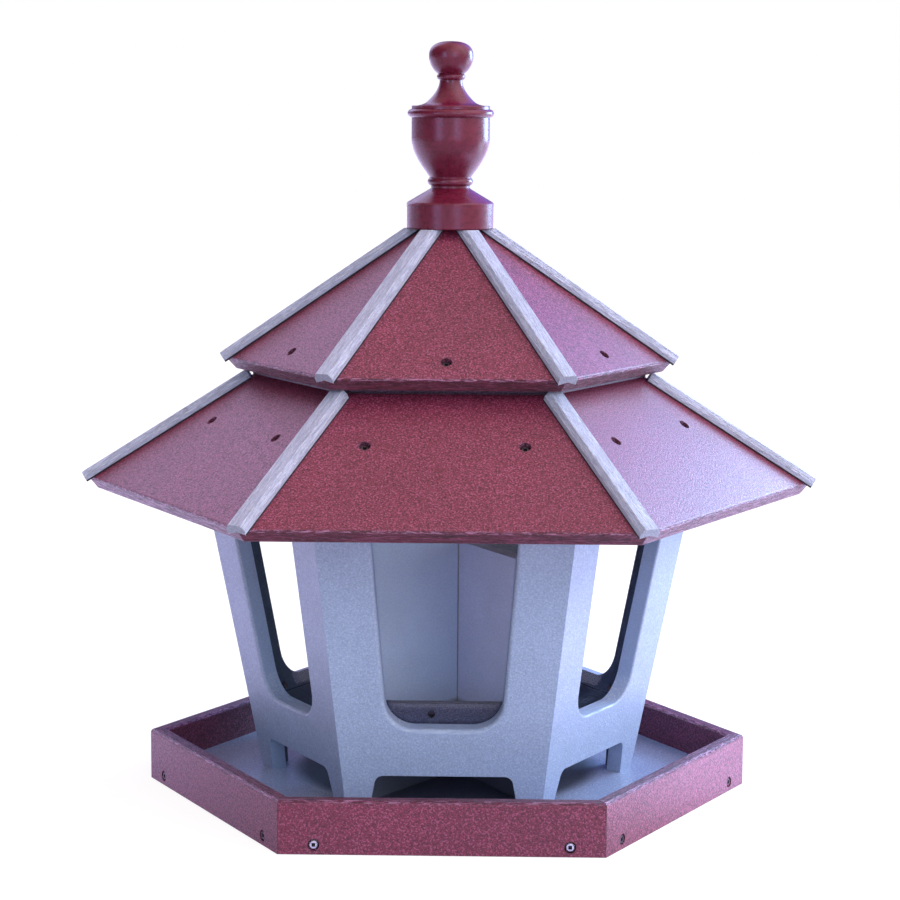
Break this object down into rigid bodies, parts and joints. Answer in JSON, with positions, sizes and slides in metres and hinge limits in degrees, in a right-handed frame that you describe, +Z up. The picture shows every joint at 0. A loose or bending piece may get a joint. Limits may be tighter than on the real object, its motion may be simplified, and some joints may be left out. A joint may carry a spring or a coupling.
{
  "type": "hopper bird feeder",
  "caption": "Hexagonal pavilion-shaped hopper bird feeder with clear windows, feed slots, a rimmed seed tray and a lift-off upper roof for filling.",
  "frame": {"origin": "centre of the tray's underside, at the middle of the outline seen from above", "axes": "+Z up through the finial, the front faces -Y, +X to the right of someone facing the front"},
  "size_m": [0.6022, 0.527, 0.61],
  "materials": {
    "red_board": "speckled matt board with streaked sawn edges",
    "grey_board": "speckled satin board",
    "dark_strip": "dark speckled board",
    "turned_red": "turned and glossy",
    "clear_pane": "clear acrylic sheet",
    "bright_steel": "bright fasteners"
  },
  "bodies": {
    "base": {"tray_floor": "grey_board", "rail_front": "red_board", "rail_front_right": "red_board", "rail_rear_right": "red_board", "rail_rear": "red_board", "rail_rear_left": "red_board", "rail_front_left": "red_board", "rail_screws": "bright_steel", "floor_screws": "bright_steel", "panel_front": "grey_board", "panel_front_right": "grey_board", "panel_rear_right": "grey_board", "panel_rear": "grey_board", "panel_rear_left": "grey_board", "panel_front_left": "grey_board", "pane_front": "clear_pane", "pane_front_right": "clear_pane", "pane_rear_right": "clear_pane", "pane_rear_left": "clear_pane", "pane_front_left": "clear_pane", "pane_screws": "bright_steel", "pane_cleat": "dark_strip", "divider_left": "grey_board", "divider_right": "grey_board", "lower_front": "red_board", "lower_front_right": "red_board", "lower_rear_right": "red_board", "lower_rear": "red_board", "lower_rear_left": "red_board", "lower_front_left": "red_board", "lower_batten_right": "grey_board", "lower_batten_rear_right": "grey_board", "lower_batten_rear_left": "grey_board", "lower_batten_left": "grey_board", "lower_batten_front_left": "grey_board", "lower_batten_front_right": "grey_board", "lower_screws": "bright_steel"},
    "lid": {"lid_ring": "grey_board", "upper_front": "red_board", "upper_front_right": "red_board", "upper_rear_right": "red_board", "upper_rear": "red_board", "upper_rear_left": "red_board", "upper_front_left": "red_board", "upper_batten_right": "grey_board", "upper_batten_rear_right": "grey_board", "upper_batten_rear_left": "grey_board", "upper_batten_left": "grey_board", "upper_batten_front_left": "grey_board", "upper_batten_front_right": "grey_board", "upper_screws": "bright_steel", "apex_block": "grey_board", "finial": "turned_red", "finial_rod": "bright_steel", "finial_nut": "bright_steel"}
  },
  "joints": [
    {"name": "lid_lift", "type": "slide", "parent": "base", "child": "lid", "axis": [0, 0, 1], "range_m": [0, 0.15]}
  ]
}
